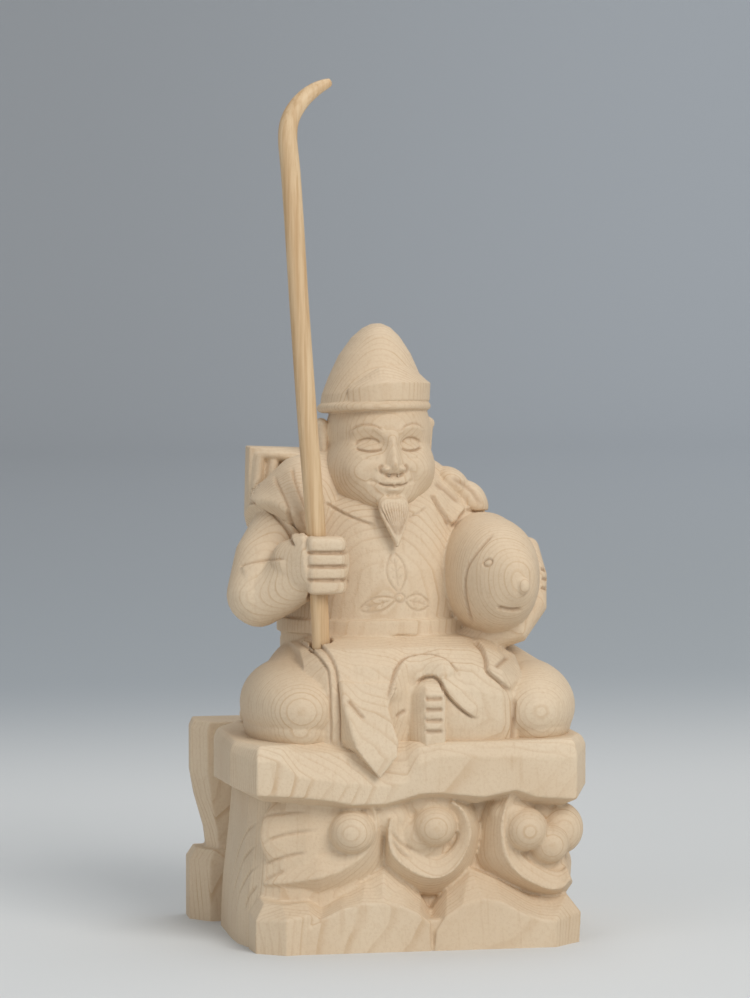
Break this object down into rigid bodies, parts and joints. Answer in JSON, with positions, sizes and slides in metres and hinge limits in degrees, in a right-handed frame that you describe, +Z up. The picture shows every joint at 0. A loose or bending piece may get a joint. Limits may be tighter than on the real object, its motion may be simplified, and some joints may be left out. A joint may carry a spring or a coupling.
{
  "type": "carved wooden deity figure",
  "caption": "Small carved pale-wood figure of a seated fisherman deity on a wave-washed rock, with a fish under one arm and a loose bent rod in the other fist.",
  "frame": {"origin": "middle of the rock's flat underside, on the surface it stands on", "axes": "+Z up through the figure, -Y the way the figure faces, +X towards the arm that holds the fish"},
  "size_m": [0.0882, 0.0682, 0.204],
  "materials": {
    "carved_wood": "bare knife-cut pale softwood, matt",
    "rod_wood": "bare scraped yellow stick, satin"
  },
  "bodies": {
    "root": {"carved_figure": "carved_wood", "fishing_rod": "rod_wood"}
  },
  "joints": []
}
